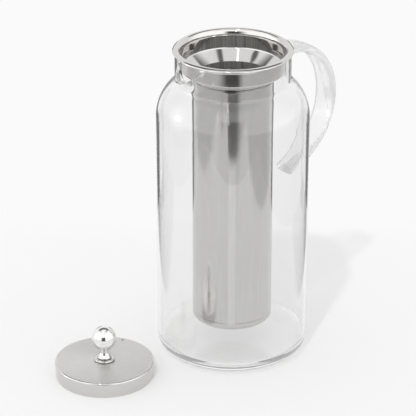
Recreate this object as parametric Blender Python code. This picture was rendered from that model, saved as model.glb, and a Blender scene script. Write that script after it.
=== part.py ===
"""Infusion jug: a blown glass jug with a strap handle, a lift-out steel infuser and a loose steel lid.

The origin is the centre of the jug's base, on the table. +X points to the handle, -X to the spout and +Z up.
The lid lies on the table beside the jug, where it is put down while the infuser is filled.
"""

import math

import bmesh
import bpy
from mathutils import Matrix, Vector

for old in list(bpy.data.objects):
    bpy.data.objects.remove(old, do_unlink=True)

MM = 0.001

# Fits that the pieces share
FIT_GAP = 0.3 * MM  # between pieces that touch
STEEL_SHEET = 0.8 * MM  # spun and pressed pieces
WELD = 0.0005 * MM  # points closer than this are one point

# Glass jug
BODY_RADIUS = 60.0 * MM
GLASS_WALL = 2.4 * MM
BASE_ROUND = 12.0 * MM  # outer round between the base and the wall
FLOOR_THICKNESS = 6.0 * MM
FLOOR_ROUND = 9.0 * MM  # inner round between the floor and the wall
RIM_HEIGHT = 255.0 * MM
SHOULDER_DROP = 55.0 * MM  # from the rim down to where the straight wall ends
SHOULDER_RADIUS = 38.0 * MM
NECK_RADIUS = 45.2 * MM
NECK_FILLET = 4.5 * MM

# Spout, drawn out and down from the neck
SPOUT_REACH = 12.5 * MM
SPOUT_DROP = 12.5 * MM
SPOUT_HALF_ANGLE = math.radians(23)
SPOUT_FINENESS_SHARE = 0.45  # how far the ring's steps crowd toward the spout

# Glass handle, a flat oval strap along one curve in the XZ plane
HANDLE_WIDTH = 20.6 * MM
HANDLE_THICKNESS = 6.5 * MM
HANDLE_TOP_DROP = 14.6 * MM  # from the rim down to its joint on the neck
HANDLE_FOOT_DROP = 118.5 * MM  # from the rim down to its joint on the wall
HANDLE_REACH = 108.0 * MM  # first pull of the curve, out from the neck
HANDLE_RISE = 12.0 * MM  # how far that pull climbs above the neck joint
HANDLE_BELLY = 130.0 * MM  # second pull of the curve, out from the wall
HANDLE_LIFT = 25.0 * MM  # how far that pull lies above the wall joint
HANDLE_FLARE_SHARE = 0.12  # extra width and thickness where the strap leaves the neck
HANDLE_TAPER_SHARE = 0.14  # width lost on the way down to the foot

# Infuser: flanged collar, lapped tube and pressed base cap
FLANGE_RADIUS = 46.9 * MM
FLANGE_CREST_RADIUS = 43.4 * MM
FLANGE_RISE = 1.6 * MM  # crest above the outer edge
CUP_RADIUS = 40.2 * MM
FLARE_DEPTH = 5.6 * MM  # crest to the top of the straight cup wall
CUP_DEPTH = 14.6 * MM  # crest to the bottom of that wall
CUP_ROUND = 1.6 * MM
CONE_DEPTH = 8.0 * MM
SPIGOT_LENGTH = 5.0 * MM  # overlap of the collar and of the cap with the tube
TUBE_RADIUS = 31.6 * MM
TUBE_SHEET = 0.5 * MM
TUBE_LAP = 5.5 * MM  # overlap of the rolled sheet's edges
TUBE_LAP_AZIMUTH = math.radians(226)
CAP_CLEARANCE = 20.9 * MM  # between the jug's floor and the underside of the cap
CAP_BAND = 6.0 * MM
CAP_ROUND = 3.5 * MM

# Lid
LID_CLEARANCE = 1.0 * MM  # between the lid's skirt and the cup
LID_HEIGHT = 12.5 * MM  # table to the edge of the top
LID_EDGE_ROUND = 1.3 * MM
LID_DOME = 0.4 * MM  # centre of the top above its edge
LID_TAPER = 0.4 * MM  # how much the skirt narrows to its lower edge
LID_GAP_TO_JUG = 15.4 * MM
LID_AZIMUTH = math.radians(165.2)
VENT_RADIUS = 0.9 * MM
VENT_INSET = 4.0 * MM  # from the lid's edge to the vent's centre
VENT_AZIMUTH = math.radians(25)

# Knob on the lid
FOOT_RADIUS = 8.2 * MM
FOOT_HEIGHT = 1.7 * MM
STEM_FLARE_RADIUS = 5.9 * MM
STEM_NECK_RADIUS = 3.2 * MM
STEM_FLARE_HEIGHT = 1.5 * MM
STEM_HEIGHT = 7.5 * MM
BALL_RADIUS = 9.7 * MM
SCREW_RADIUS = 2.0 * MM
SCREW_HEAD_RADIUS = 3.9 * MM
SCREW_HEAD_HEIGHT = 1.8 * MM
SCREW_BITE = 8.0 * MM  # length inside the ball
BORE_SPARE = 1.0 * MM  # bore beyond the screw's tip
WASHER_RADIUS = 6.0 * MM
WASHER_THICKNESS = 0.8 * MM

# How finely the curves are cut
JUG_SEGMENTS = 56
RING_SEGMENTS = 48
KNOB_SEGMENTS = 24
SCREW_SEGMENTS = 16
STRAP_SIDES = 16
STRAP_STATIONS = 22
SMOOTH_ANGLE = math.radians(32)


def material(name, colour, roughness, metallic=0.0, transmission=0.0):
    """A plain Principled surface."""
    made = bpy.data.materials.new(name)
    made.use_nodes = True
    shader = made.node_tree.nodes["Principled BSDF"]
    shader.inputs["Base Color"].default_value = (*colour, 1)
    shader.inputs["Roughness"].default_value = roughness
    shader.inputs["Metallic"].default_value = metallic
    shader.inputs["Transmission Weight"].default_value = transmission
    return made


def add(name, bm, surface, parent):
    """An object from a bmesh, smooth but for its sharp edges, under its parent."""
    bmesh.ops.recalc_face_normals(bm, faces=bm.faces)
    mesh = bpy.data.meshes.new(name)
    bm.to_mesh(mesh)
    bm.free()
    mesh.shade_smooth()
    mesh.set_sharp_from_angle(angle=SMOOTH_ANGLE)
    mesh.materials.append(surface)
    made = bpy.data.objects.new(name, mesh)
    bpy.context.collection.objects.link(made)
    made.parent = parent
    return made


def empty(name, place):
    """A frame that carries the pieces of one body."""
    made = bpy.data.objects.new(name, None)
    made.location = place
    bpy.context.collection.objects.link(made)
    return made


def arc(centre, radius, start, end, steps):
    """Points of an arc in the (radius, height) plane; angle zero points outward."""
    turns = [start + (end - start) * i / steps for i in range(steps + 1)]
    return [(centre[0] + radius * math.cos(t), centre[1] + radius * math.sin(t)) for t in turns]


def sheet(face, thickness):
    """The closed outline of a sheet: one face's points, then the other face's, to the left of their run."""
    points = [Vector(point) for point in face]
    runs = [(b - a).normalized() for a, b in zip(points, points[1:])]
    lefts = [Vector((-run.y, run.x)) for run in runs]
    back = []
    for point, before, after in zip(points, [lefts[0], *lefts], [*lefts, lefts[-1]]):
        middle = (before + after).normalized()
        back.append(point + middle * (thickness / middle.dot(after)))
    return [tuple(point) for point in points + back[::-1]]


def turned(outline, segments=RING_SEGMENTS):
    """A bmesh turned about Z from an outline of (radius, height), which may start and end on the axis."""
    bm = bmesh.new()
    verts = [bm.verts.new((radius, 0, height)) for radius, height in outline]
    pairs = list(zip(verts, verts[1:]))
    if outline[0][0] > 0:
        pairs.append((verts[-1], verts[0]))
    edges = [bm.edges.new(pair) for pair in pairs]
    bmesh.ops.spin(
        bm,
        geom=verts + edges,
        cent=(0, 0, 0),
        axis=(0, 0, 1),
        angle=math.tau,
        steps=segments,
        use_merge=True,
    )
    bmesh.ops.remove_doubles(bm, verts=bm.verts, dist=WELD)
    return bm


def straight(start, end, steps):
    """Points along a straight run, both ends left out."""
    return [
        (start[0] + (end[0] - start[0]) * i / steps, start[1] + (end[1] - start[1]) * i / steps)
        for i in range(1, steps)
    ]


# Where the shoulder's arc meets the neck's fillet, which share a tangent
SHOULDER_HEIGHT = RIM_HEIGHT - SHOULDER_DROP
SHOULDER_CENTRE = (BODY_RADIUS - SHOULDER_RADIUS, SHOULDER_HEIGHT)
SHOULDER_LEAN = math.acos(
    (NECK_RADIUS + NECK_FILLET - SHOULDER_CENTRE[0]) / (SHOULDER_RADIUS + NECK_FILLET)
)
NECK_ROOT = SHOULDER_HEIGHT + (SHOULDER_RADIUS + NECK_FILLET) * math.sin(SHOULDER_LEAN)


# Heights where the vessel's glass is divided, a fit gap apart
WALL_FOOT = FLOOR_THICKNESS + FLOOR_ROUND
INNER_RADIUS = BODY_RADIUS - GLASS_WALL


def floor_outline():
    """The floor with the base's outer round and the inner round up to the wall."""
    steps = 4
    quarter = math.pi / 2
    outside = arc((BODY_RADIUS - BASE_ROUND, BASE_ROUND), BASE_ROUND, -quarter, 0, steps)
    inside = arc((INNER_RADIUS - FLOOR_ROUND, WALL_FOOT), FLOOR_ROUND, 0, -quarter, steps)
    return [(0, 0), *outside, (BODY_RADIUS, WALL_FOOT), *inside, (0, FLOOR_THICKNESS)]


def wall_outline():
    """The straight wall."""
    foot = WALL_FOOT + FIT_GAP
    return [
        (BODY_RADIUS, foot),
        (BODY_RADIUS, SHOULDER_HEIGHT),
        (INNER_RADIUS, SHOULDER_HEIGHT),
        (INNER_RADIUS, foot),
    ]


def shoulder_outline():
    """The shoulder's arc and the fillet that turns it up into the neck."""
    arc_steps = 6
    fillet_steps = 2
    inner_arc = SHOULDER_RADIUS - GLASS_WALL
    fillet_centre = (NECK_RADIUS + NECK_FILLET, NECK_ROOT)
    start = math.asin(FIT_GAP / SHOULDER_RADIUS)
    end = math.asin(FIT_GAP / inner_arc)
    lean = math.pi + SHOULDER_LEAN
    outside = arc(SHOULDER_CENTRE, SHOULDER_RADIUS, start, SHOULDER_LEAN, arc_steps)
    outside += arc(fillet_centre, NECK_FILLET, lean, math.pi, fillet_steps)[1:]
    inside = arc(fillet_centre, NECK_FILLET + GLASS_WALL, math.pi, lean, fillet_steps)
    inside += arc(SHOULDER_CENTRE, inner_arc, SHOULDER_LEAN, end, arc_steps)[1:]
    return outside + inside


def neck_outline():
    """The neck and the round lip."""
    neck_steps = 5
    lip_steps = 3
    lip = GLASS_WALL / 2
    foot = NECK_ROOT + FIT_GAP
    outer_foot = (NECK_RADIUS, foot)
    inner_foot = (NECK_RADIUS - GLASS_WALL, foot)
    rim = arc((NECK_RADIUS - lip, RIM_HEIGHT - lip), lip, 0, math.pi, lip_steps)
    up = straight(outer_foot, rim[0], neck_steps)
    down = straight(rim[-1], inner_foot, neck_steps)
    return [outer_foot, *up, *rim, *down, inner_foot]


def draw_spout(bm):
    """Crowd the ring's steps toward -X, and pull the neck out and down there, most at the rim."""
    for vert in bm.verts:
        slip = SPOUT_FINENESS_SHARE * math.sin(math.atan2(vert.co.y, -vert.co.x))
        vert.co.rotate(Matrix.Rotation(slip, 3, "Z"))
        rise = (vert.co.z - NECK_ROOT) / (RIM_HEIGHT - NECK_ROOT)
        off = abs(math.atan2(vert.co.y, -vert.co.x)) / SPOUT_HALF_ANGLE
        if rise <= 0 or off >= 1:
            continue
        pull = math.cos(off * math.pi / 2) ** 2
        outward = Vector((vert.co.x, vert.co.y, 0)).normalized()
        vert.co += outward * (SPOUT_REACH * pull * rise**1.5)
        vert.co.z -= SPOUT_DROP * pull * rise**2


def make_jug(glass):
    """The blown vessel with its spout, one piece of glass divided into floor, wall, shoulder and neck."""
    for name, outline in (
        ("glass_floor", floor_outline()),
        ("glass_body", wall_outline()),
        ("glass_shoulder", shoulder_outline()),
        ("glass_neck", neck_outline()),
    ):
        bm = turned(outline, JUG_SEGMENTS)
        draw_spout(bm)
        add(name, bm, glass, jug)


def make_handle(glass):
    """The strap handle, shaped at both ends to the round wall that it is fused to."""
    top = RIM_HEIGHT - HANDLE_TOP_DROP
    foot = RIM_HEIGHT - HANDLE_FOOT_DROP
    neck_end = Vector((NECK_RADIUS + FIT_GAP, top))
    wall_end = Vector((BODY_RADIUS + FIT_GAP, foot))
    first_pull = Vector((HANDLE_REACH, top + HANDLE_RISE))
    second_pull = Vector((HANDLE_BELLY, foot + HANDLE_LIFT))
    seat_shares = (1, 0.7, 0.35)

    def centre(t):
        s = 1 - t
        return s**3 * neck_end + 3 * s * s * t * first_pull + 3 * s * t * t * second_pull + t**3 * wall_end

    def heading(t):
        s = 1 - t
        return (
            s * s * (first_pull - neck_end)
            + 2 * s * t * (second_pull - first_pull)
            + t * t * (wall_end - second_pull)
        ).normalized()

    def section(t, share):
        """One oval ring across the strap: (outward, sideways, up) of each of its points."""
        flare = 1 + HANDLE_FLARE_SHARE * (1 - t) ** 6 - HANDLE_TAPER_SHARE * t**3
        across = heading(t).orthogonal()
        ring = []
        for side in range(STRAP_SIDES):
            turn = math.tau * side / STRAP_SIDES
            thick = HANDLE_THICKNESS / 2 * math.cos(turn) * flare * share
            wide = HANDLE_WIDTH / 2 * math.sin(turn) * flare * share
            ring.append((centre(t) + across * thick, wide))
        return ring

    bm = bmesh.new()

    def seat_point(place, wide, radius):
        """A point of an end face, slid along X onto the round wall."""
        return bm.verts.new((math.sqrt(radius**2 - wide**2), wide, place.y))

    rings = []
    for step in range(1, STRAP_STATIONS):
        ring = section(step / STRAP_STATIONS, 1)
        rings.append([bm.verts.new((place.x, wide, place.y)) for place, wide in ring])
    for t, radius in ((0, neck_end.x), (1, wall_end.x)):
        seats = [[seat_point(*point, radius) for point in section(t, share)] for share in seat_shares]
        tip = seat_point(centre(t), 0, radius)
        rings = seats[::-1] + rings if t == 0 else rings + seats
        last = seats[-1]
        for a, b in zip(last, last[1:] + last[:1]):
            bm.faces.new((a, b, tip))
    for low, high in zip(rings, rings[1:]):
        for a, b, c, d in zip(low, low[1:] + low[:1], high[1:] + high[:1], high):
            bm.faces.new((a, b, c, d))
    return add("glass_handle", bm, glass, jug)


# Infuser heights: the flange's sheet rests on the glass rim, and the cap hangs clear of the floor
CREST = RIM_HEIGHT + FIT_GAP + STEEL_SHEET
CUP_BOTTOM = CREST - CUP_DEPTH
THROAT = CUP_BOTTOM - CONE_DEPTH
SPIGOT_RADIUS = TUBE_RADIUS - TUBE_SHEET - FIT_GAP
TUBE_TOP = THROAT - STEEL_SHEET - FIT_GAP
CAP_BOTTOM = FLOOR_THICKNESS + CAP_CLEARANCE
TUBE_BOTTOM = CAP_BOTTOM + CAP_BAND + FIT_GAP


def make_collar(steel):
    """The spun collar: rolled flange, straight cup, cone and the spigot that the tube is welded to."""
    roll_steps = 4
    round_steps = 2
    quarter = math.pi / 2
    throat_radius = SPIGOT_RADIUS - STEEL_SHEET
    face = []
    for i in range(roll_steps + 1):
        turn = quarter * i / roll_steps
        width = FLANGE_RADIUS - FLANGE_CREST_RADIUS
        radius = FLANGE_CREST_RADIUS + width * math.cos(turn)
        face.append((radius, CREST - FLANGE_RISE * (1 - math.sin(turn))))
    for i in range(1, roll_steps + 1):
        turn = quarter * i / roll_steps
        width = FLANGE_CREST_RADIUS - CUP_RADIUS
        radius = FLANGE_CREST_RADIUS - width * math.sin(turn)
        face.append((radius, CREST - FLARE_DEPTH * (1 - math.cos(turn))))
    lean = math.atan2(CONE_DEPTH, CUP_RADIUS - throat_radius)
    corner = (CUP_RADIUS - CUP_ROUND, CUP_BOTTOM)
    face += arc(corner, CUP_ROUND, 0, lean - quarter, round_steps)
    face += [(throat_radius, THROAT), (throat_radius, TUBE_TOP - SPIGOT_LENGTH)]
    return add("infuser_collar", turned(sheet(face, STEEL_SHEET)), steel, infuser)


def make_tube(steel):
    """The strainer tube: one sheet rolled round until its edges overlap, the outer edge lying over the inner."""
    lap_turn = TUBE_LAP / TUBE_RADIUS
    joggle_turn = lap_turn / 2
    lift = TUBE_SHEET + FIT_GAP
    start = TUBE_LAP_AZIMUTH - lap_turn / 2
    turns = [math.tau * i / RING_SEGMENTS for i in range(RING_SEGMENTS)]
    turns = [turn for turn in turns if turn < math.tau - joggle_turn] + [math.tau - joggle_turn]
    lifts = [0] * len(turns)
    for share in (0, 1 / 2, 1):
        turns.append(math.tau + lap_turn * share)
        lifts.append(lift)
    bm = bmesh.new()
    rows = []
    for turn, out in zip(turns, lifts):
        way = Vector((math.cos(start + turn), math.sin(start + turn), 0))
        corners = [
            (TUBE_RADIUS - TUBE_SHEET + out, TUBE_BOTTOM),
            (TUBE_RADIUS + out, TUBE_BOTTOM),
            (TUBE_RADIUS + out, TUBE_TOP),
            (TUBE_RADIUS - TUBE_SHEET + out, TUBE_TOP),
        ]
        rows.append([bm.verts.new(way * radius + Vector((0, 0, height))) for radius, height in corners])
    for one, two in zip(rows, rows[1:]):
        for a, b, c, d in zip(one, one[1:] + one[:1], two[1:] + two[:1], two):
            bm.faces.new((a, b, c, d))
    bm.faces.new(rows[0])
    bm.faces.new(rows[-1])
    return add("infuser_tube", bm, steel, infuser)


def make_cap(steel):
    """The pressed cap that closes the tube's lower end, stepped in where it enters the tube."""
    round_steps = 3
    face = [(0, CAP_BOTTOM)]
    corner = (TUBE_RADIUS - CAP_ROUND, CAP_BOTTOM + CAP_ROUND)
    face += arc(corner, CAP_ROUND, -math.pi / 2, 0, round_steps)
    face += [
        (TUBE_RADIUS, CAP_BOTTOM + CAP_BAND),
        (SPIGOT_RADIUS, TUBE_BOTTOM),
        (SPIGOT_RADIUS, TUBE_BOTTOM + SPIGOT_LENGTH),
    ]
    return add("infuser_base", turned(sheet(face, STEEL_SHEET)), steel, infuser)


LID_RADIUS = CUP_RADIUS - LID_CLEARANCE
LID_TOP = LID_HEIGHT + LID_DOME
BORE_RADIUS = SCREW_RADIUS + FIT_GAP


def make_lid(steel):
    """The pressed lid: shallow dome, tight edge and straight skirt, with a screw hole and a steam vent."""
    dome_steps = 4
    round_steps = 3
    flat_radius = LID_RADIUS - LID_EDGE_ROUND
    face = []
    for i in range(dome_steps):
        radius = BORE_RADIUS + (flat_radius - BORE_RADIUS) * i / dome_steps
        face.append((radius, LID_HEIGHT + LID_DOME * (1 - (radius / flat_radius) ** 2)))
    corner = (flat_radius, LID_HEIGHT - LID_EDGE_ROUND)
    face += arc(corner, LID_EDGE_ROUND, math.pi / 2, 0, round_steps)
    face += [(LID_RADIUS - LID_TAPER, 0)]
    shell = add("lid_shell", turned(sheet(face[::-1], STEEL_SHEET)), steel, lid)
    bm = bmesh.new()
    bmesh.ops.create_cone(
        bm,
        cap_ends=True,
        segments=SCREW_SEGMENTS,
        radius1=VENT_RADIUS,
        radius2=VENT_RADIUS,
        depth=LID_HEIGHT,
    )
    drill = add("vent_drill", bm, steel, lid)
    reach = LID_RADIUS - VENT_INSET
    drill.location = (reach * math.cos(VENT_AZIMUTH), reach * math.sin(VENT_AZIMUTH), LID_HEIGHT)
    drill.hide_render = True
    drill.display_type = "WIRE"
    vent = shell.modifiers.new("vent", "BOOLEAN")
    vent.operation = "DIFFERENCE"
    vent.object = drill
    return shell


# Knob heights on the lid, each piece standing on the one below
FOOT_BOTTOM = LID_TOP + FIT_GAP
STEM_BOTTOM = FOOT_BOTTOM + FOOT_HEIGHT + FIT_GAP
STEM_TOP = STEM_BOTTOM + STEM_HEIGHT
BALL_FLAT = STEM_TOP + FIT_GAP
BALL_CENTRE = BALL_FLAT + math.sqrt(BALL_RADIUS**2 - STEM_NECK_RADIUS**2)
WASHER_TOP = LID_HEIGHT - STEEL_SHEET - FIT_GAP
HEAD_TOP = WASHER_TOP - WASHER_THICKNESS - FIT_GAP


def make_knob(steel):
    """The knob: foot disc, flared stem and ball, with the screw and washer that hold them from below."""
    round_steps = 4
    quarter = math.pi / 2
    edge = FOOT_HEIGHT / 2
    foot = [(BORE_RADIUS, FOOT_BOTTOM)]
    foot += arc((FOOT_RADIUS - edge, FOOT_BOTTOM + edge), edge, -quarter, quarter, round_steps)
    foot += [(BORE_RADIUS, FOOT_BOTTOM + FOOT_HEIGHT)]
    add("knob_foot", turned(foot, KNOB_SEGMENTS), steel, lid)

    waist_steps = 5
    stem = [(BORE_RADIUS, STEM_BOTTOM), (STEM_FLARE_RADIUS - STEM_FLARE_HEIGHT / 2, STEM_BOTTOM)]
    shelf = STEM_BOTTOM + STEM_FLARE_HEIGHT
    stem += [(STEM_FLARE_RADIUS, STEM_BOTTOM + STEM_FLARE_HEIGHT / 2)]
    for i in range(waist_steps + 1):
        share = i / waist_steps
        radius = STEM_NECK_RADIUS + (STEM_FLARE_RADIUS - STEM_NECK_RADIUS) * (1 - share) ** 2.5
        stem.append((radius, shelf + (STEM_TOP - shelf) * share))
    stem += [(BORE_RADIUS, STEM_TOP)]
    add("knob_stem", turned(stem, KNOB_SEGMENTS), steel, lid)

    ball_steps = 12
    flat_turn = -math.acos(STEM_NECK_RADIUS / BALL_RADIUS)
    bore_end = BALL_FLAT + SCREW_BITE + BORE_SPARE
    ball = [(0, bore_end), (BORE_RADIUS, bore_end), (BORE_RADIUS, BALL_FLAT)]
    ball += arc((0, BALL_CENTRE), BALL_RADIUS, flat_turn, quarter, ball_steps)
    ball[-1] = (0, BALL_CENTRE + BALL_RADIUS)
    add("knob_ball", turned(ball, KNOB_SEGMENTS), steel, lid)

    washer = [
        (BORE_RADIUS, WASHER_TOP - WASHER_THICKNESS),
        (WASHER_RADIUS, WASHER_TOP - WASHER_THICKNESS),
        (WASHER_RADIUS, WASHER_TOP),
        (BORE_RADIUS, WASHER_TOP),
    ]
    add("knob_washer", turned(washer, KNOB_SEGMENTS), steel, lid)

    crown = SCREW_HEAD_HEIGHT / 2
    screw = [
        (0, HEAD_TOP - SCREW_HEAD_HEIGHT),
        (SCREW_HEAD_RADIUS - crown, HEAD_TOP - SCREW_HEAD_HEIGHT),
        (SCREW_HEAD_RADIUS, HEAD_TOP - crown),
        (SCREW_HEAD_RADIUS, HEAD_TOP),
        (SCREW_RADIUS, HEAD_TOP),
        (SCREW_RADIUS, BALL_FLAT + SCREW_BITE),
        (0, BALL_FLAT + SCREW_BITE),
    ]
    add("knob_screw", turned(screw, SCREW_SEGMENTS), steel, lid)


jug = empty("jug_frame", (0, 0, 0))
infuser = empty("infuser_frame", (0, 0, 0))
lid_distance = BODY_RADIUS + LID_GAP_TO_JUG + LID_RADIUS
lid = empty("lid_frame", Matrix.Rotation(LID_AZIMUTH, 3, "Z") @ Vector((lid_distance, 0, 0)))

clear_glass = material("clear_glass", (0.96, 0.98, 0.97), 0.02, transmission=1.0)
polished_steel = material("polished_steel", (0.78, 0.77, 0.76), 0.08, metallic=1.0)
etched_steel = material("etched_steel", (0.66, 0.66, 0.65), 0.38, metallic=1.0)
satin_steel = material("satin_steel", (0.72, 0.71, 0.7), 0.22, metallic=1.0)

make_jug(clear_glass)
make_handle(clear_glass)
make_collar(polished_steel)
make_tube(etched_steel)
make_cap(satin_steel)
make_lid(polished_steel)
make_knob(polished_steel)
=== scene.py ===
"""Looks of the infusion jug: blown glass, polished and matt steel, on a pale table in soft studio light."""

import math

import bmesh
import bpy
from mathutils import Matrix, Vector


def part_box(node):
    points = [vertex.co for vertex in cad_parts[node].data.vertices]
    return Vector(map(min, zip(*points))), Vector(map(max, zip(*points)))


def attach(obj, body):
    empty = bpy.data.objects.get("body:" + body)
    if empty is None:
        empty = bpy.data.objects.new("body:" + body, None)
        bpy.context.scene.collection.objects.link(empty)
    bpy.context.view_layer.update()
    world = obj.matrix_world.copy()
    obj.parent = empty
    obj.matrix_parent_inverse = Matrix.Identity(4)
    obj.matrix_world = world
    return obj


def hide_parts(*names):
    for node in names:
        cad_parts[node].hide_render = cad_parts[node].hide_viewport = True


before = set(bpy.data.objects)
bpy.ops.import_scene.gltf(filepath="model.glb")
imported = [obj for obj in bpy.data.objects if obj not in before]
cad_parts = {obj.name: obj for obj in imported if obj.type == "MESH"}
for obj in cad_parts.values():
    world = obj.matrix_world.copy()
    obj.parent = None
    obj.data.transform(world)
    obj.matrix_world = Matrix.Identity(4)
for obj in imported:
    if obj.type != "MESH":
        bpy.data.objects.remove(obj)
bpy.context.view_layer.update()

MM = 0.001
QUARTER = math.pi / 2

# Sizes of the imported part, from its boxes
BODY_LOW, BODY_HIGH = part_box("glass_body")
HANDLE_LOW, HANDLE_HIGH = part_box("glass_handle")
COLLAR_LOW, COLLAR_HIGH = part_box("infuser_collar")
CAP_LOW, CAP_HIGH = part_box("infuser_base")
LID_LOW, LID_SHELL_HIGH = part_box("lid_shell")
FOOT_LOW, FOOT_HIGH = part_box("knob_foot")
STEM_LOW, STEM_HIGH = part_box("knob_stem")
BALL_LOW, BALL_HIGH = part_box("knob_ball")
WASHER_LOW, WASHER_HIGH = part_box("knob_washer")
SCREW_LOW, SCREW_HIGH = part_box("knob_screw")

# Glass jug
GLASS_WALL = 2.4 * MM
BODY_RADIUS = 60.0 * MM
BASE_ROUND = 12.0 * MM
FLOOR_THICKNESS = 6.0 * MM
FLOOR_ROUND = 9.0 * MM
SHOULDER_HEIGHT = 200.0 * MM
SHOULDER_RADIUS = 38.0 * MM
NECK_RADIUS = 45.2 * MM
NECK_FILLET = 4.5 * MM
RIM_HEIGHT = 255.0 * MM
SPOUT_REACH = 12.5 * MM
SPOUT_DROP = 12.5 * MM
SPOUT_HALF_ANGLE = math.radians(23)
SPOUT_FINENESS_SHARE = 0.45

# Glass handle
HANDLE_WIDTH = 20.6 * MM
HANDLE_THICKNESS = 6.5 * MM
HANDLE_TOP = 240.4 * MM
HANDLE_FOOT = 136.5 * MM
HANDLE_REACH = 108.0 * MM
HANDLE_RISE = 12.0 * MM
HANDLE_BELLY = 130.0 * MM
HANDLE_LIFT = 25.0 * MM
HANDLE_FLARE_SHARE = 0.12
HANDLE_TAPER_SHARE = 0.14
WELD_FLARE = 0.5 * MM
WELD_REACH = 3.0 * MM

# Steel infuser
STEEL_SHEET = 0.8 * MM
FIT_GAP = 0.3 * MM
FLANGE_RADIUS = 46.9 * MM
FLANGE_CREST_RADIUS = 43.4 * MM
FLANGE_RISE = 1.6 * MM
CUP_RADIUS = 40.2 * MM
FLARE_DEPTH = 5.6 * MM
CUP_DEPTH = 14.6 * MM
CUP_ROUND = 1.6 * MM
CONE_DEPTH = 8.0 * MM
SPIGOT_LENGTH = 5.0 * MM
TUBE_RADIUS = 31.6 * MM
TUBE_SHEET = 0.5 * MM
TUBE_LAP = 5.5 * MM
TUBE_LAP_AZIMUTH = math.radians(226)
CAP_BAND = 6.0 * MM
CAP_ROUND = 3.5 * MM

# Steel lid and knob
LID_RADIUS = 39.2 * MM
LID_HEIGHT = 12.5 * MM
LID_EDGE_ROUND = 1.3 * MM
LID_DOME = 0.4 * MM
LID_TAPER = 0.4 * MM
VENT_RADIUS = 0.9 * MM
VENT_INSET = 4.0 * MM
VENT_AZIMUTH = math.radians(25)
BORE_RADIUS = 2.3 * MM
STEM_NECK_RADIUS = 3.2 * MM
STEM_FLARE_HEIGHT = 1.5 * MM
BALL_RADIUS = 9.7 * MM
SCREW_RADIUS = 2.0 * MM
SCREW_HEAD_HEIGHT = 1.8 * MM

# Which of a piece's finishes a face has, where it isn't the first
STRAP_FINISH = 1
LAP_FINISH = 1
TUBE_INSIDE_FINISH = 2
LID_TOP_FINISH = 1

# How finely the looks are cut
MERGE_DISTANCE = 1e-7
DRILL_STEPS = 32
JUG_STEPS = 240
RING_STEPS = 192
KNOB_STEPS = 96
SMOOTH_ANGLE = math.radians(30)

# Photograph's view
VIEW_TURN = -0.745
VIEW_PITCH = 0.4452
CAMERA_PLACE = (-19.3245 * MM, -1734.869 * MM, 947.896 * MM)
FOCAL_PIXELS = 2423.34
FRAME_PIXELS = 416
SENSOR_WIDTH = 36.0

studio_turn = Matrix.Rotation(VIEW_TURN, 4, "Z")


def arc(centre, radius, start, end, steps):
    """Points of an arc in the (radius, height) plane; angle zero points outward."""
    turns = [start + (end - start) * i / steps for i in range(steps + 1)]
    return [(centre[0] + radius * math.cos(t), centre[1] + radius * math.sin(t)) for t in turns]


def sheet(face, thickness):
    """The closed outline of a sheet: one face's points, then the other face's, to the left of their run."""
    points = [Vector(point) for point in face]
    runs = [(b - a).normalized() for a, b in zip(points, points[1:])]
    lefts = [Vector((-run.y, run.x)) for run in runs]
    back = []
    for point, before, after in zip(points, [lefts[0], *lefts], [*lefts, lefts[-1]]):
        middle = (before + after).normalized()
        back.append(point + middle * (thickness / middle.dot(after)))
    return [tuple(point) for point in points + back[::-1]]


def straight(start, end, steps):
    """Points along a straight run, both ends left out."""
    return [
        (start[0] + (end[0] - start[0]) * i / steps, start[1] + (end[1] - start[1]) * i / steps)
        for i in range(1, steps)
    ]


def turned(outline, steps=RING_STEPS):
    """A bmesh turned about Z from an outline of (radius, height), which may start and end on the axis."""
    bm = bmesh.new()
    verts = [bm.verts.new((radius, 0, height)) for radius, height in outline]
    pairs = list(zip(verts, verts[1:]))
    if outline[0][0] > 0:
        pairs.append((verts[-1], verts[0]))
    edges = [bm.edges.new(pair) for pair in pairs]
    bmesh.ops.spin(
        bm,
        geom=verts + edges,
        cent=(0, 0, 0),
        axis=(0, 0, 1),
        angle=math.tau,
        steps=steps,
        use_merge=True,
    )
    bmesh.ops.remove_doubles(bm, verts=bm.verts, dist=MERGE_DISTANCE)
    return bm


def mesh_object(name, bm, material, place=(0, 0)):
    """An object from a bmesh, smooth but for its sharp edges, set over a point of the table."""
    bmesh.ops.recalc_face_normals(bm, faces=bm.faces)
    mesh = bpy.data.meshes.new(name)
    bm.to_mesh(mesh)
    bm.free()
    mesh.shade_smooth()
    mesh.set_sharp_from_angle(angle=SMOOTH_ANGLE)
    mesh.materials.append(material)
    made = bpy.data.objects.new(name, mesh)
    bpy.context.collection.objects.link(made)
    made.location = (*place, 0)
    return made


def boolean(target, cutter, operation):
    """Joins or cuts a piece with another, which then goes away."""
    step = target.modifiers.new("form", "BOOLEAN")
    step.operation = operation
    step.object = cutter
    bpy.context.view_layer.update()
    solved = target.evaluated_get(bpy.context.evaluated_depsgraph_get())
    mesh = bpy.data.meshes.new_from_object(solved)
    target.modifiers.remove(step)
    target.data = mesh
    mesh.shade_smooth()
    mesh.set_sharp_from_angle(angle=SMOOTH_ANGLE)
    bpy.data.objects.remove(cutter, do_unlink=True)


def dress(piece, body, slot, *nodes):
    """Says what a piece rides on and hides the nodes it stands for; the slot is not used."""
    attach(piece, body)
    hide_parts(*nodes)


SHOULDER_CENTRE = (BODY_RADIUS - SHOULDER_RADIUS, SHOULDER_HEIGHT)
SHOULDER_LEAN = math.acos(
    (NECK_RADIUS + NECK_FILLET - SHOULDER_CENTRE[0]) / (SHOULDER_RADIUS + NECK_FILLET)
)
NECK_ROOT = SHOULDER_HEIGHT + (SHOULDER_RADIUS + NECK_FILLET) * math.sin(SHOULDER_LEAN)


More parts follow.
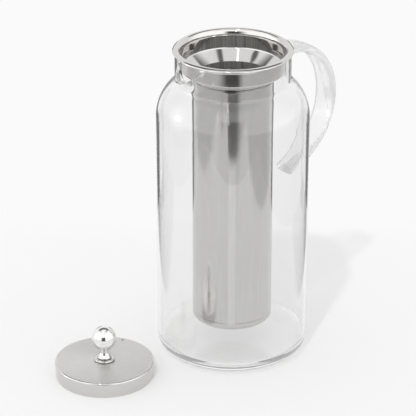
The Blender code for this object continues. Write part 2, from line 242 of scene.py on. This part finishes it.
def jug_outline():
    """The vessel's section: outside from the base up, round the lip, and inside down to the floor."""
    base_steps = 14
    wall_steps = 24
    shoulder_steps = 28
    fillet_steps = 8
    neck_steps = 20
    lip_steps = 12
    fillet_centre = (NECK_RADIUS + NECK_FILLET, NECK_ROOT)
    lip = GLASS_WALL / 2
    inner_radius = BODY_RADIUS - GLASS_WALL
    base = arc((BODY_RADIUS - BASE_ROUND, BASE_ROUND), BASE_ROUND, -QUARTER, 0, base_steps)
    shoulder = arc(SHOULDER_CENTRE, SHOULDER_RADIUS, 0, SHOULDER_LEAN, shoulder_steps)
    outside = [(0, 0)] + base + straight(base[-1], shoulder[0], wall_steps) + shoulder
    outside += arc(fillet_centre, NECK_FILLET, math.pi + SHOULDER_LEAN, math.pi, fillet_steps)[1:]
    rim = arc((NECK_RADIUS - lip, RIM_HEIGHT - lip), lip, 0, math.pi, lip_steps)
    inside = arc(
        fillet_centre, NECK_FILLET + GLASS_WALL, math.pi, math.pi + SHOULDER_LEAN, fillet_steps
    )
    inside += arc(SHOULDER_CENTRE, SHOULDER_RADIUS - GLASS_WALL, SHOULDER_LEAN, 0, shoulder_steps)[1:]
    floor_centre = (inner_radius - FLOOR_ROUND, FLOOR_THICKNESS + FLOOR_ROUND)
    floor = arc(floor_centre, FLOOR_ROUND, 0, -QUARTER, base_steps)
    inside += straight(inside[-1], floor[0], wall_steps) + floor + [(0, FLOOR_THICKNESS)]
    up = straight(outside[-1], rim[0], neck_steps)
    down = straight(rim[-1], inside[0], neck_steps)
    return outside + up + rim + down + inside


def draw_spout(bm):
    """Crowd the ring's steps toward -X, and pull the neck out and down there, most at the rim."""
    reach_curve = 1.5
    drop_curve = 2
    for vert in bm.verts:
        slip = SPOUT_FINENESS_SHARE * math.sin(math.atan2(vert.co.y, -vert.co.x))
        vert.co.rotate(Matrix.Rotation(slip, 3, "Z"))
        rise = (vert.co.z - NECK_ROOT) / (RIM_HEIGHT - NECK_ROOT)
        off = abs(math.atan2(vert.co.y, -vert.co.x)) / SPOUT_HALF_ANGLE
        if rise <= 0 or off >= 1:
            continue
        pull = math.cos(off * QUARTER) ** 2
        outward = Vector((vert.co.x, vert.co.y, 0)).normalized()
        vert.co += outward * (SPOUT_REACH * pull * rise**reach_curve)
        vert.co.z -= SPOUT_DROP * pull * rise**drop_curve


def rounded_square(part, squareness):
    """A circle's sine or cosine drawn out toward a square's; a squareness of 2 leaves it as it is."""
    return math.copysign(abs(part) ** (2 / squareness), part)


def strap():
    """The handle's oval strap, its ends sunk half way into the glass wall."""
    sides = 72
    stations = 110
    squareness = 3.0
    neck_end = Vector((NECK_RADIUS - GLASS_WALL / 2, HANDLE_TOP))
    wall_end = Vector((BODY_RADIUS - GLASS_WALL / 2, HANDLE_FOOT))
    first_pull = Vector((HANDLE_REACH, HANDLE_TOP + HANDLE_RISE))
    second_pull = Vector((HANDLE_BELLY, HANDLE_FOOT + HANDLE_LIFT))
    bm = bmesh.new()
    rings = []
    for step in range(stations + 1):
        t = step / stations
        s = 1 - t
        centre = (
            s**3 * neck_end + 3 * s * s * t * first_pull + 3 * s * t * t * second_pull + t**3 * wall_end
        )
        heading = (
            s * s * (first_pull - neck_end)
            + 2 * s * t * (second_pull - first_pull)
            + t * t * (wall_end - second_pull)
        ).normalized()
        across = heading.orthogonal()
        flare = 1 + HANDLE_FLARE_SHARE * s**6 - HANDLE_TAPER_SHARE * t**3
        from_wall = min((centre - neck_end).length, (centre - wall_end).length) - GLASS_WALL / 2
        weld = WELD_FLARE * math.exp(-max(from_wall, 0) / WELD_REACH)
        ring = []
        for side in range(sides):
            turn = math.tau * side / sides
            thick = (HANDLE_THICKNESS / 2 * flare + weld) * rounded_square(math.cos(turn), squareness)
            wide = (HANDLE_WIDTH / 2 * flare + weld) * rounded_square(math.sin(turn), squareness)
            place = centre + across * thick
            ring.append(bm.verts.new((place.x, wide, place.y)))
        rings.append(ring)
    for low, high in zip(rings, rings[1:]):
        for a, b, c, d in zip(low, low[1:] + low[:1], high[1:] + high[:1], high):
            bm.faces.new((a, b, c, d))
    bm.faces.new(rings[0])
    bm.faces.new(rings[-1])
    for face in bm.faces:
        face.material_index = STRAP_FINISH
    return bm


CREST = COLLAR_HIGH.z
CUP_BOTTOM = CREST - CUP_DEPTH
THROAT = CUP_BOTTOM - CONE_DEPTH
SPIGOT_RADIUS = TUBE_RADIUS - TUBE_SHEET - FIT_GAP
TUBE_TOP = THROAT - STEEL_SHEET - FIT_GAP
CAP_BOTTOM = CAP_LOW.z
TUBE_BOTTOM = CAP_BOTTOM + CAP_BAND + FIT_GAP


def collar():
    """The spun collar: rolled flange, straight cup, cone and spigot."""
    roll_steps = 20
    round_steps = 8
    throat_radius = SPIGOT_RADIUS - STEEL_SHEET
    face = []
    for i in range(roll_steps + 1):
        turn = QUARTER * i / roll_steps
        radius = FLANGE_CREST_RADIUS + (FLANGE_RADIUS - FLANGE_CREST_RADIUS) * math.cos(turn)
        face.append((radius, CREST - FLANGE_RISE * (1 - math.sin(turn))))
    for i in range(1, roll_steps + 1):
        turn = QUARTER * i / roll_steps
        radius = FLANGE_CREST_RADIUS - (FLANGE_CREST_RADIUS - CUP_RADIUS) * math.sin(turn)
        face.append((radius, CREST - FLARE_DEPTH * (1 - math.cos(turn))))
    lean = math.atan2(CONE_DEPTH, CUP_RADIUS - throat_radius)
    face += arc((CUP_RADIUS - CUP_ROUND, CUP_BOTTOM), CUP_ROUND, 0, lean - QUARTER, round_steps)
    face += [(throat_radius, THROAT), (throat_radius, TUBE_TOP - SPIGOT_LENGTH)]
    return turned(sheet(face, STEEL_SHEET))


def tube():
    """The strainer tube: one sheet rolled round until its edges overlap."""
    joggle_share = 0.8
    joggle_steps = 8
    lap_shares = (0.25, 0.5, 0.75, 1.0)
    lap_lead_share = 0.1
    lap_turn = TUBE_LAP / TUBE_RADIUS
    joggle_turn = lap_turn * joggle_share
    lift = TUBE_SHEET + FIT_GAP
    start = TUBE_LAP_AZIMUTH - lap_turn / 2
    turns = [math.tau * i / RING_STEPS for i in range(RING_STEPS)]
    turns = [turn for turn in turns if turn < math.tau - joggle_turn]
    rises = [(turn, 0, TUBE_SHEET) for turn in turns]
    for i in range(joggle_steps + 1):
        share = i / joggle_steps
        rise = lift * (1 - math.cos(math.pi * share)) / 2
        rises.append((math.tau - joggle_turn * (1 - share), rise, TUBE_SHEET))
    rises += [(math.tau + lap_turn * share, lift, TUBE_SHEET) for share in lap_shares]
    bm = bmesh.new()
    rows = []
    for turn, out, thickness in rises:
        way = Vector((math.cos(start + turn), math.sin(start + turn), 0))
        inner = TUBE_RADIUS - TUBE_SHEET + out
        corners = [
            (inner, TUBE_BOTTOM),
            (inner + thickness, TUBE_BOTTOM),
            (inner + thickness, TUBE_TOP),
            (inner, TUBE_TOP),
        ]
        rows.append([bm.verts.new(way * radius + Vector((0, 0, height))) for radius, height in corners])
    for (one, two), (turn, out, thickness) in zip(zip(rows, rows[1:]), rises):
        finish = LAP_FINISH if turn > math.tau - lap_turn * lap_lead_share else 0
        finishes = (finish, finish, finish, TUBE_INSIDE_FINISH)
        for a, b, c, d, index in zip(one, one[1:] + one[:1], two[1:] + two[:1], two, finishes):
            bm.faces.new((a, b, c, d)).material_index = index
    bm.faces.new(rows[0])
    bm.faces.new(rows[-1])
    return bm


def cap():
    """The pressed cap, stepped in where it enters the tube."""
    round_steps = 12
    face = [(0, CAP_BOTTOM)]
    face += arc((TUBE_RADIUS - CAP_ROUND, CAP_BOTTOM + CAP_ROUND), CAP_ROUND, -QUARTER, 0, round_steps)
    face += [
        (TUBE_RADIUS, CAP_BOTTOM + CAP_BAND),
        (SPIGOT_RADIUS, TUBE_BOTTOM),
        (SPIGOT_RADIUS, TUBE_BOTTOM + SPIGOT_LENGTH),
    ]
    return turned(sheet(face, STEEL_SHEET))


def lid_shell():
    """The pressed lid: nearly flat top, tight edge and straight skirt."""
    dome_steps = 20
    round_steps = 10
    flat_radius = LID_RADIUS - LID_EDGE_ROUND
    face = []
    for i in range(dome_steps):
        radius = BORE_RADIUS + (flat_radius - BORE_RADIUS) * i / dome_steps
        face.append((radius, LID_HEIGHT + LID_DOME * (1 - (radius / flat_radius) ** 2)))
    face += arc((flat_radius, LID_HEIGHT - LID_EDGE_ROUND), LID_EDGE_ROUND, QUARTER, 0, round_steps)
    face += [(LID_RADIUS - LID_TAPER, 0)]
    bm = turned(sheet(face[::-1], STEEL_SHEET))
    for plate in bm.faces:
        middle = plate.calc_center_median()
        if middle.z > LID_HEIGHT and middle.xy.length < flat_radius:
            plate.material_index = LID_TOP_FINISH
    return bm


def rod(radius, low, high, steps):
    """A plain rod about Z, for drilling and cutting."""
    return turned([(0, low), (radius, low), (radius, high), (0, high)], steps)


def knob_foot():
    """The round-edged disc under the stem."""
    edge_steps = 16
    edge = (FOOT_HIGH.z - FOOT_LOW.z) / 2
    radius = (FOOT_HIGH.x - FOOT_LOW.x) / 2
    outline = [(BORE_RADIUS, FOOT_LOW.z)]
    outline += arc((radius - edge, FOOT_LOW.z + edge), edge, -QUARTER, QUARTER, edge_steps)
    outline += [(BORE_RADIUS, FOOT_HIGH.z)]
    return turned(outline, KNOB_STEPS)


def knob_stem():
    """The flared stem."""
    edge_steps = 12
    waist_steps = 24
    waist_curve = 2.5
    flare_radius = (STEM_HIGH.x - STEM_LOW.x) / 2
    edge = STEM_FLARE_HEIGHT / 2
    outline = [(BORE_RADIUS, STEM_LOW.z)]
    outline += arc((flare_radius - edge, STEM_LOW.z + edge), edge, -QUARTER, QUARTER / 2, edge_steps)
    shelf_radius, shelf = outline[-1]
    for i in range(1, waist_steps + 1):
        share = i / waist_steps
        radius = STEM_NECK_RADIUS + (shelf_radius - STEM_NECK_RADIUS) * (1 - share) ** waist_curve
        outline.append((radius, shelf + (STEM_HIGH.z - shelf) * share))
    outline += [(BORE_RADIUS, STEM_HIGH.z)]
    return turned(outline, KNOB_STEPS)


def knob_ball():
    """The ball, flat where it stands on the stem, its screw hole drilled to its centre."""
    ball_steps = 60
    centre = BALL_HIGH.z - BALL_RADIUS
    flat_turn = -math.acos(STEM_NECK_RADIUS / BALL_RADIUS)
    outline = [(0, centre), (BORE_RADIUS, centre), (BORE_RADIUS, BALL_LOW.z)]
    outline += arc((0, centre), BALL_RADIUS, flat_turn, QUARTER, ball_steps)[:-1]
    outline += [(0, BALL_HIGH.z)]
    return turned(outline, KNOB_STEPS)


def washer():
    """The washer under the lid, its edges broken."""
    chamfer = 0.12 * MM
    radius = (WASHER_HIGH.x - WASHER_LOW.x) / 2
    low, high = WASHER_LOW.z, WASHER_HIGH.z
    outline = [
        (BORE_RADIUS, low),
        (radius - chamfer, low),
        (radius, low + chamfer),
        (radius, high - chamfer),
        (radius - chamfer, high),
        (BORE_RADIUS, high),
    ]
    return turned(outline, KNOB_STEPS)


def screw():
    """The round-headed screw from below."""
    crown_steps = 10
    head_radius = (SCREW_HIGH.x - SCREW_LOW.x) / 2
    head_top = SCREW_LOW.z + SCREW_HEAD_HEIGHT
    crown = SCREW_HEAD_HEIGHT / 2
    outline = [(0, SCREW_LOW.z)]
    outline += arc((head_radius - crown, SCREW_LOW.z + crown), crown, -QUARTER, 0, crown_steps)
    outline += [(head_radius, head_top), (SCREW_RADIUS, head_top), (SCREW_RADIUS, SCREW_HIGH.z)]
    outline += [(0, SCREW_HIGH.z)]
    return turned(outline, KNOB_STEPS)


def grey(level):
    """A grey as a colour."""
    return (level, level, level, 1)


class Nodes:
    """Short calls for building a node tree."""

    def __init__(self, owner):
        owner.use_nodes = True
        self.tree = owner.node_tree
        self.tree.nodes.clear()

    def add(self, kind, **values):
        node = self.tree.nodes.new("ShaderNode" + kind)
        for name, value in values.items():
            setattr(node, name, value)
        return node

    def feed(self, socket, value):
        """Links an output to a socket, or sets the socket's own value."""
        if isinstance(value, bpy.types.NodeSocket):
            self.tree.links.new(value, socket)
        else:
            socket.default_value = value

    def made(self, node, out, sockets, values):
        """An output of a node whose sockets have been fed."""
        for socket, value in zip(sockets, values):
            self.feed(node.inputs[socket], value)
        return node.outputs[out]

    def math(self, operation, *values):
        return self.made(self.add("Math", operation=operation), 0, range(len(values)), values)

    def times(self, first, *others):
        """The product of numbers."""
        for other in others:
            first = self.math("MULTIPLY", first, other)
        return first

    def ramp(self, value, low, high, start=0.0, end=1.0):
        """A smooth step of a value from start to end, between low and high."""
        node = self.add("MapRange", interpolation_type="SMOOTHSTEP")
        return self.made(node, 0, range(5), (value, low, high, start, end))

    def band(self, value, limits):
        """One between the two middle limits, falling smoothly to zero at the outer ones."""
        low, low_full, high_full, high = limits
        return self.times(self.ramp(value, low, low_full), self.ramp(value, high_full, high, 1.0, 0.0))

    def mix(self, share, one, two):
        """A blend of two numbers."""
        return self.made(self.add("Mix", data_type="FLOAT"), 0, (0, 2, 3), (share, one, two))

    def tint(self, share, one, two):
        """A blend of two colours."""
        return self.made(self.add("Mix", data_type="RGBA"), 2, (0, 6, 7), (share, one, two))

    def blend(self, share, one, two):
        """A blend of two shaders."""
        return self.made(self.add("MixShader"), 0, range(3), (share, one, two))

    def glow(self, strength):
        """An even white light."""
        return self.made(self.add("Emission"), 0, ("Color", "Strength"), (grey(1.0), strength))

    def axes(self, vector):
        """The three parts of a vector."""
        node = self.add("SeparateXYZ")
        self.feed(node.inputs[0], vector)
        return tuple(node.outputs)

    def mirrored(self, path, depth):
        """One where light has been mirrored more often than a depth."""
        return self.math("GREATER_THAN", path["Glossy Depth"], depth)


def grain(n, place, scale, stretch=(1, 1, 1), detail=2.0):
    """A noise over the piece, drawn out along an axis by a small factor there."""
    mapped = n.made(n.add("Mapping"), 0, ("Vector", "Scale"), (place, stretch))
    return n.made(n.add("TexNoise"), 0, ("Vector", "Scale", "Detail"), (mapped, scale, detail))


EVEN = (1, 1, 1)
FLAT_RINGS = (1, 1, 8)
UPRIGHT_STREAKS = (1, 1, 0.03)
ONCE = 0.5  # mirrored at least once, also inside the glass, and not only seen through it
DEEP = 2.5  # mirrored more often than this, light goes on as through clear air or off matt steel


def glass(name, clearness, edge, see_through=0.0, far_edge_shade=None):
    """Clear blown glass, faintly uneven, with a painted shade that darkens its colour toward grazing edges;
    what is behind it is lit through it.

    A far edge is the level of a painted shade laid on the edges that are turned to +Y.
    """
    refraction = 1.47
    wave_scale = 22.0
    wave_stretch = (1, 1, 0.5)
    wave_detail = 1.0
    wave_strength = 0.04
    wave_height = 4 * MM
    edge_start = 0.8
    far_edge_grazing = (0.6, 0.85)
    far_edge_turn = (0.2, 0.5)
    clear_level = 0.995
    shadow_grazing = (0.2, 1.0)
    shadow_levels = (0.28, 0.45)
    deep_shade = 0.1
    material = bpy.data.materials.new(name)
    n = Nodes(material)
    place = n.add("TexCoord").outputs
    grazing = n.made(n.add("LayerWeight"), "Facing", ("Blend",), (0.5,))
    # painted shade: the glass's colour darkens toward grazing edges, standing in for the dark reflections
    # seen there
    edge_shaded_tone = n.tint(n.ramp(grazing, edge_start, 1.0), grey(clearness), grey(edge))
    # painted shade: edges turned to +Y are darkened further, as the far side of the handle looks darker
    if far_edge_shade is not None:
        far_shade_side = n.ramp(n.axes(place["Normal"])[1], *far_edge_turn)
        edge_shaded_tone = n.tint(n.times(n.ramp(grazing, *far_edge_grazing), far_shade_side), edge_shaded_tone, grey(far_edge_shade))
    waves = grain(n, place["Object"], wave_scale, wave_stretch, wave_detail)
    uneven = n.made(
        n.add("Bump"), 0, ("Height", "Strength", "Distance"), (waves, wave_strength, wave_height)
    )
    body = n.made(
        n.add("BsdfPrincipled"),
        0,
        ("Base Color", "Roughness", "IOR", "Transmission Weight", "Normal"),
        (edge_shaded_tone, 0.0, refraction, 1.0, uneven),
    )
    path = n.add("LightPath").outputs
    deep = n.mirrored(path, DEEP)
    soft_light = n.math("MAXIMUM", path["Is Shadow Ray"], path["Is Diffuse Ray"])
    passing = n.math("MAXIMUM", n.math("MAXIMUM", soft_light, deep), see_through)
    shade = n.times(path["Is Shadow Ray"], n.ramp(grazing, *shadow_grazing, *shadow_levels))
    shade = n.math("MAXIMUM", shade, n.times(deep, deep_shade))
    passed = n.tint(shade, edge_shaded_tone if see_through else grey(clear_level), grey(0.0))
    clear = n.made(n.add("BsdfTransparent"), 0, ("Color",), (passed,))
    n.feed(n.add("OutputMaterial").inputs[0], n.blend(passing, body, clear))
    return material


def steel(name, colour, metallic, roughness, anisotropy, stretch, streak_scale, streak_depth, bump_depth):
    """Stainless steel whose fine marks are drawn out as the rolling or spinning left them."""
    streak_detail = 3.0
    cloud_scale = 40.0
    noise_spread = (0.3, 0.7)
    roughness_spread = 0.1
    deep_share = 0.25
    turned_rotation = 0.25
    bump_strength = 0.3
    material = bpy.data.materials.new(name)
    n = Nodes(material)
    place = n.add("TexCoord").outputs["Object"]
    streaks = grain(n, place, streak_scale, stretch, streak_detail)
    clouds = grain(n, place, cloud_scale)
    dark = tuple(part * (1 - streak_depth) for part in colour) + (1,)
    light = tuple(part * (1 + streak_depth) for part in colour) + (1,)
    deep = n.mirrored(n.add("LightPath").outputs, DEEP)
    marks = n.made(n.add("Bump"), 0, ("Height", "Strength", "Distance"), (streaks, bump_strength, bump_depth))
    values = {
        "Base Color": n.tint(n.ramp(streaks, *noise_spread), dark, light),
        "Metallic": n.mix(deep, metallic, metallic * deep_share),
        "Roughness": n.ramp(
            clouds, *noise_spread, roughness * (1 - roughness_spread), roughness * (1 + roughness_spread)
        ),
        "Anisotropic": anisotropy,
        "Anisotropic Rotation": 0.0 if stretch == UPRIGHT_STREAKS else turned_rotation,
        "Tangent": n.add("Tangent", direction_type="RADIAL", axis="Z").outputs[0],
        "Normal": marks,
    }
    surface = n.made(n.add("BsdfPrincipled"), 0, values.keys(), values.values())
    n.feed(n.add("OutputMaterial").inputs[0], surface)
    return material


STEEL_GREY = (0.62, 0.615, 0.6)
POLISHED_GREY = (0.66, 0.65, 0.635)
LAP_GREY = (0.68, 0.675, 0.66)
LID_GREY = (0.73, 0.72, 0.705)
BALL_WHITE = (0.86, 0.86, 0.85)
FINE_BUMP = 0.001 * MM
POLISH_BUMP = 0.002 * MM
ROLLED_BUMP = 0.01 * MM

# After the name come the glass's colour and the level of its painted edge shade
CLEAR_GLASS = glass("clear_glass", 0.945, 0.9)
STRAP_GLASS = glass("strap_glass", 0.945, 0.5, see_through=0.6, far_edge_shade=0.05)
# Colour, metallic, roughness and anisotropy, then the marks' stretch, scale, depth and bump
POLISHED = steel("polished_steel", POLISHED_GREY, 0.95, 0.04, 0.3, FLAT_RINGS, 300.0, 0.015, POLISH_BUMP)
MATT = steel("etched_steel", STEEL_GREY, 0.9, 0.13, 0.8, UPRIGHT_STREAKS, 900.0, 0.03, ROLLED_BUMP)
LAP = steel("lap_steel", LAP_GREY, 0.9, 0.13, 0.8, UPRIGHT_STREAKS, 900.0, 0.03, ROLLED_BUMP)
DULL = steel("dull_steel", STEEL_GREY, 0.4, 0.5, 0.0, UPRIGHT_STREAKS, 260.0, 0.3, ROLLED_BUMP)
BRUSHED = steel("lid_steel", LID_GREY, 0.9, 0.36, 0.3, FLAT_RINGS, 300.0, 0.015, POLISH_BUMP)
BRIGHT = steel("ball_steel", BALL_WHITE, 0.97, 0.03, 0.0, EVEN, 120.0, 0.01, FINE_BUMP)
SATIN = steel("satin_steel", STEEL_GREY, 0.92, 0.12, 0.5, FLAT_RINGS, 300.0, 0.02, ROLLED_BUMP)

jug_mesh = turned(jug_outline(), JUG_STEPS)
draw_spout(jug_mesh)
jug_glass = mesh_object("jug_glass", jug_mesh, CLEAR_GLASS)
jug_glass.data.materials.append(STRAP_GLASS)
strap_glass = mesh_object("strap", strap(), CLEAR_GLASS)
strap_glass.data.materials.append(STRAP_GLASS)
boolean(jug_glass, strap_glass, "UNION")
jug_nodes = ("glass_floor", "glass_body", "glass_shoulder", "glass_neck", "glass_handle")
dress(jug_glass, "jug", "clear_glass", *jug_nodes)

dress(mesh_object("collar_steel", collar(), POLISHED), "infuser", "polished_steel", "infuser_collar")
tube_steel = mesh_object("tube_steel", tube(), MATT)
tube_steel.data.materials.append(LAP)
tube_steel.data.materials.append(DULL)
dress(tube_steel, "infuser", "etched_steel", "infuser_tube")
dress(mesh_object("cap_steel", cap(), SATIN), "infuser", "satin_steel", "infuser_base")

lid_centre = ((LID_LOW.x + LID_SHELL_HIGH.x) / 2, (LID_LOW.y + LID_SHELL_HIGH.y) / 2)
lid = mesh_object("lid_steel", lid_shell(), POLISHED, lid_centre)
lid.data.materials.append(BRUSHED)
vent_reach = LID_RADIUS - VENT_INSET
vent_place = (
    lid_centre[0] + vent_reach * math.cos(VENT_AZIMUTH),
    lid_centre[1] + vent_reach * math.sin(VENT_AZIMUTH),
)
drill = rod(VENT_RADIUS, LID_HEIGHT / 2, LID_HEIGHT * 2, DRILL_STEPS)
boolean(lid, mesh_object("drill", drill, POLISHED, vent_place), "DIFFERENCE")
dress(lid, "lid", "polished_steel", "lid_shell")

for node, form, finish in (
    ("knob_foot", knob_foot, POLISHED),
    ("knob_stem", knob_stem, POLISHED),
    ("knob_ball", knob_ball, BRIGHT),
    ("knob_washer", washer, POLISHED),
    ("knob_screw", screw, POLISHED),
):
    dress(mesh_object(node + "_steel", form(), finish, lid_centre), "lid", "polished_steel", node)


def studio_place(x, y, z):
    """A point given across, along and above the photograph's view, in the part's frame."""
    return studio_turn @ Vector((x, y, z))


AMBIENT = 0.87
BACKGROUND = 0.955
FLAG = 0.06  # level of the black flags that stand just outside the view in the room, and of the dark patches painted on the table that only rays through the glass meet
TABLE_DROP = 0.02 * MM


def table():
    """The pale table, which ends where the camera no longer looks for shadows."""
    left, right = -0.38, 0.297
    near, far = -0.42, 0.23
    fade = 0.05
    lift = 0.12
    lift_in_glass = 0.4
    left_flag, right_flag = 0.138, 0.128
    flag_change = 0.01
    flag_fade = 0.008
    flag_near = (0.02, 0.05)
    flag_depth = 4.5
    bm = bmesh.new()
    corners = [(left, near), (right, near), (right, far), (left, far)]
    bm.faces.new([bm.verts.new(Vector((x, y, 0))) for x, y in corners])
    material = bpy.data.materials.new("table")
    n = Nodes(material)
    across, along, _ = n.axes(n.add("TexCoord").outputs["Object"])
    path = n.add("LightPath").outputs
    through_glass = path["Is Transmission Ray"]
    share = n.times(path["Is Camera Ray"], n.ramp(along, far - fade, far, lift, 1.0))
    share = n.math("MAXIMUM", share, n.times(through_glass, lift_in_glass))
    # painted dark refraction: beside the jug the table turns nearly black, but only for rays that came
    # through the glass and were mirrored there, standing in for black flags that darken the glass's edges
    flag_edge = n.ramp(across, 0.0, flag_change, left_flag, right_flag)
    beyond = n.math("SUBTRACT", n.math("ABSOLUTE", across), flag_edge)
    beside = n.times(n.ramp(beyond, 0.0, flag_fade), n.ramp(along, *flag_near))
    early = n.math("LESS_THAN", path["Ray Depth"], flag_depth)
    painted_flag_patches = n.times(through_glass, early, n.mirrored(path, ONCE), beside)
    matt = n.made(n.add("BsdfDiffuse"), 0, ("Color",), (grey(BACKGROUND),))
    top = n.blend(share, matt, n.glow(BACKGROUND))
    n.feed(n.add("OutputMaterial").inputs[0], n.blend(painted_flag_patches, top, n.glow(FLAG)))
    made = mesh_object("table", bm, material)
    made.rotation_euler.z = VIEW_TURN
    made.location.z = -TABLE_DROP


def room():
    """An even pale room to the camera and to matt surfaces; what glass and steel mirror has dark parts.

    Angles are in degrees. Side is turned from straight away from the camera, facing is turned from the
    camera itself, negative to the left, and height is over the table. Across and along are the parts of a
    direction, to the right and away. A band's four limits are where it starts, is full and ends.
    """
    low_room = 0.64
    wall_behind = 0.98
    softboxes = 1.5
    ceiling = 1.0
    horizon = (-4.0, 4.0)
    wall_sides = (60.0, 100.0)
    low_sides = (40.0, 70.0)
    ceiling_heights = (50.0, 65.0)

    low_flag_starts = (-26.0, -22.0, 18.0, 7.0)
    low_flag_edge = (0.0, 2.0)
    low_flag_end = (32.0, 36.0)
    low_flag_heights = (-36.0, -33.0, -19.0, -16.0)
    upper_flag_sides = (8.0, 10.0, 20.0, 25.0)
    upper_flag_heights = (-24.0, -19.0, 6.0, 12.0)
    upper_flag_level = 0.15
    figure_facings = (-36.0, -10.0, 7.0, 24.0)
    figure_heights = (-60.0, -50.0, 28.0, 38.0)
    rail_end = (50.0, 70.0)
    rail_heights = (38.0, 42.0, 62.0, 70.0)
    rail_level = 0.15

    overhead_heights = (25.0, 30.0)
    strip_across = (-0.13, -0.115, -0.1, -0.085)
    strip_along = (-0.95, -0.9, 0.0, 0.05)
    strip_level = 4.0
    right_gap_across = (0.2, 0.26, 0.3, 0.38)
    right_gap_along = (-0.14, -0.08, 0.04, 0.1)
    left_gap_across = (-0.52, -0.46, -0.42, -0.36)
    left_gap_along = (0.0, 0.05, 0.12, 0.22)
    gap_level = 0.15
    window_facing = -93.0
    window_height = 7.0
    window_halo = (4.0, 26.0)
    window_halo_level = 2.0
    window_core = (2.0, 7.0)
    window_core_level = 6.0

    world = bpy.data.worlds.new("room")
    bpy.context.scene.world = world
    world.cycles.sampling_method = "NONE"
    n = Nodes(world)
    turn = n.add("VectorRotate", rotation_type="Z_AXIS")
    way = n.made(turn, 0, ("Vector", "Angle"), (n.add("TexCoord").outputs["Generated"], -VIEW_TURN))
    across, along, up = n.axes(way)
    side = n.math("DEGREES", n.math("ABSOLUTE", n.math("ARCTAN2", across, along)))
    facing = n.math("DEGREES", n.math("ARCTAN2", across, n.times(along, -1.0)))
    height = n.math("DEGREES", n.math("ARCSINE", up))
    path = n.add("LightPath").outputs
    mirrored = n.mirrored(path, ONCE)

    above = n.mix(n.ramp(side, *wall_sides), wall_behind, softboxes)
    above = n.mix(n.ramp(height, *ceiling_heights), above, ceiling)
    below = n.mix(n.times(n.ramp(side, *low_sides), mirrored), BACKGROUND, low_room)
    level = n.mix(n.ramp(height, *horizon), below, above)

    upper_flags = n.times(n.band(side, upper_flag_sides), n.band(height, upper_flag_heights), mirrored)
    past_start = n.math("SUBTRACT", side, n.ramp(height, *low_flag_starts))
    low_flags = n.times(
        n.ramp(past_start, *low_flag_edge),
        n.ramp(side, *low_flag_end, 1.0, 0.0),
        n.band(height, low_flag_heights),
        mirrored,
    )
    figure = n.times(n.band(facing, figure_facings), n.band(height, figure_heights), mirrored)
    rail = n.times(n.ramp(side, *rail_end, 1.0, 0.0), n.band(height, rail_heights), mirrored)
    overhead = n.ramp(height, *overhead_heights)
    strip = n.times(n.band(across, strip_across), n.band(along, strip_along), overhead)
    right_gap = n.times(n.band(across, right_gap_across), n.band(along, right_gap_along), overhead)
    left_gap = n.times(n.band(across, left_gap_across), n.band(along, left_gap_along), overhead)
    off_across = n.math("SUBTRACT", facing, window_facing)
    off_up = n.math("SUBTRACT", height, window_height)
    off_window = n.math(
        "SQRT", n.math("ADD", n.math("POWER", off_across, 2.0), n.math("POWER", off_up, 2.0))
    )
    for shape, value in (
        (upper_flags, upper_flag_level),
        (low_flags, FLAG),
        (figure, FLAG),
        (rail, rail_level),
        (strip, strip_level),
        (right_gap, gap_level),
        (left_gap, gap_level),
        (n.ramp(off_window, *window_halo, 1.0, 0.0), window_halo_level),
        (n.ramp(off_window, *window_core, 1.0, 0.0), window_core_level),
    ):
        level = n.mix(shape, level, value)

    lit = n.mix(path["Is Diffuse Ray"], level, AMBIENT)
    seen = n.mix(path["Is Camera Ray"], lit, BACKGROUND)
    light = n.made(n.add("Background"), 0, ("Color", "Strength"), (grey(1.0), seen))
    n.feed(n.add("OutputWorld").inputs[0], light)


def key_light():
    """The soft key light from the front left, which steel and glass don't mirror."""
    strength = 0.5
    width = math.radians(2.5)
    place = (-0.215, -0.615, 1.0)
    lamp = bpy.data.lights.new("key", "SUN")
    lamp.energy = strength
    lamp.angle = width
    made = bpy.data.objects.new("key", lamp)
    made.rotation_euler = studio_place(*place).to_track_quat("Z", "Y").to_euler()
    made.visible_glossy = False
    made.visible_transmission = False
    bpy.context.collection.objects.link(made)


def camera():
    """The photograph's camera."""
    lens = bpy.data.cameras.new("camera")
    lens.sensor_width = SENSOR_WIDTH
    lens.lens = SENSOR_WIDTH * FOCAL_PIXELS / FRAME_PIXELS
    made = bpy.data.objects.new("camera", lens)
    made.location = studio_place(*CAMERA_PLACE)
    made.rotation_euler = (QUARTER - VIEW_PITCH, 0, VIEW_TURN)
    bpy.context.collection.objects.link(made)
    bpy.context.scene.camera = made


table()
room()
key_light()
camera()
bpy.context.scene.view_settings.view_transform = "Standard"
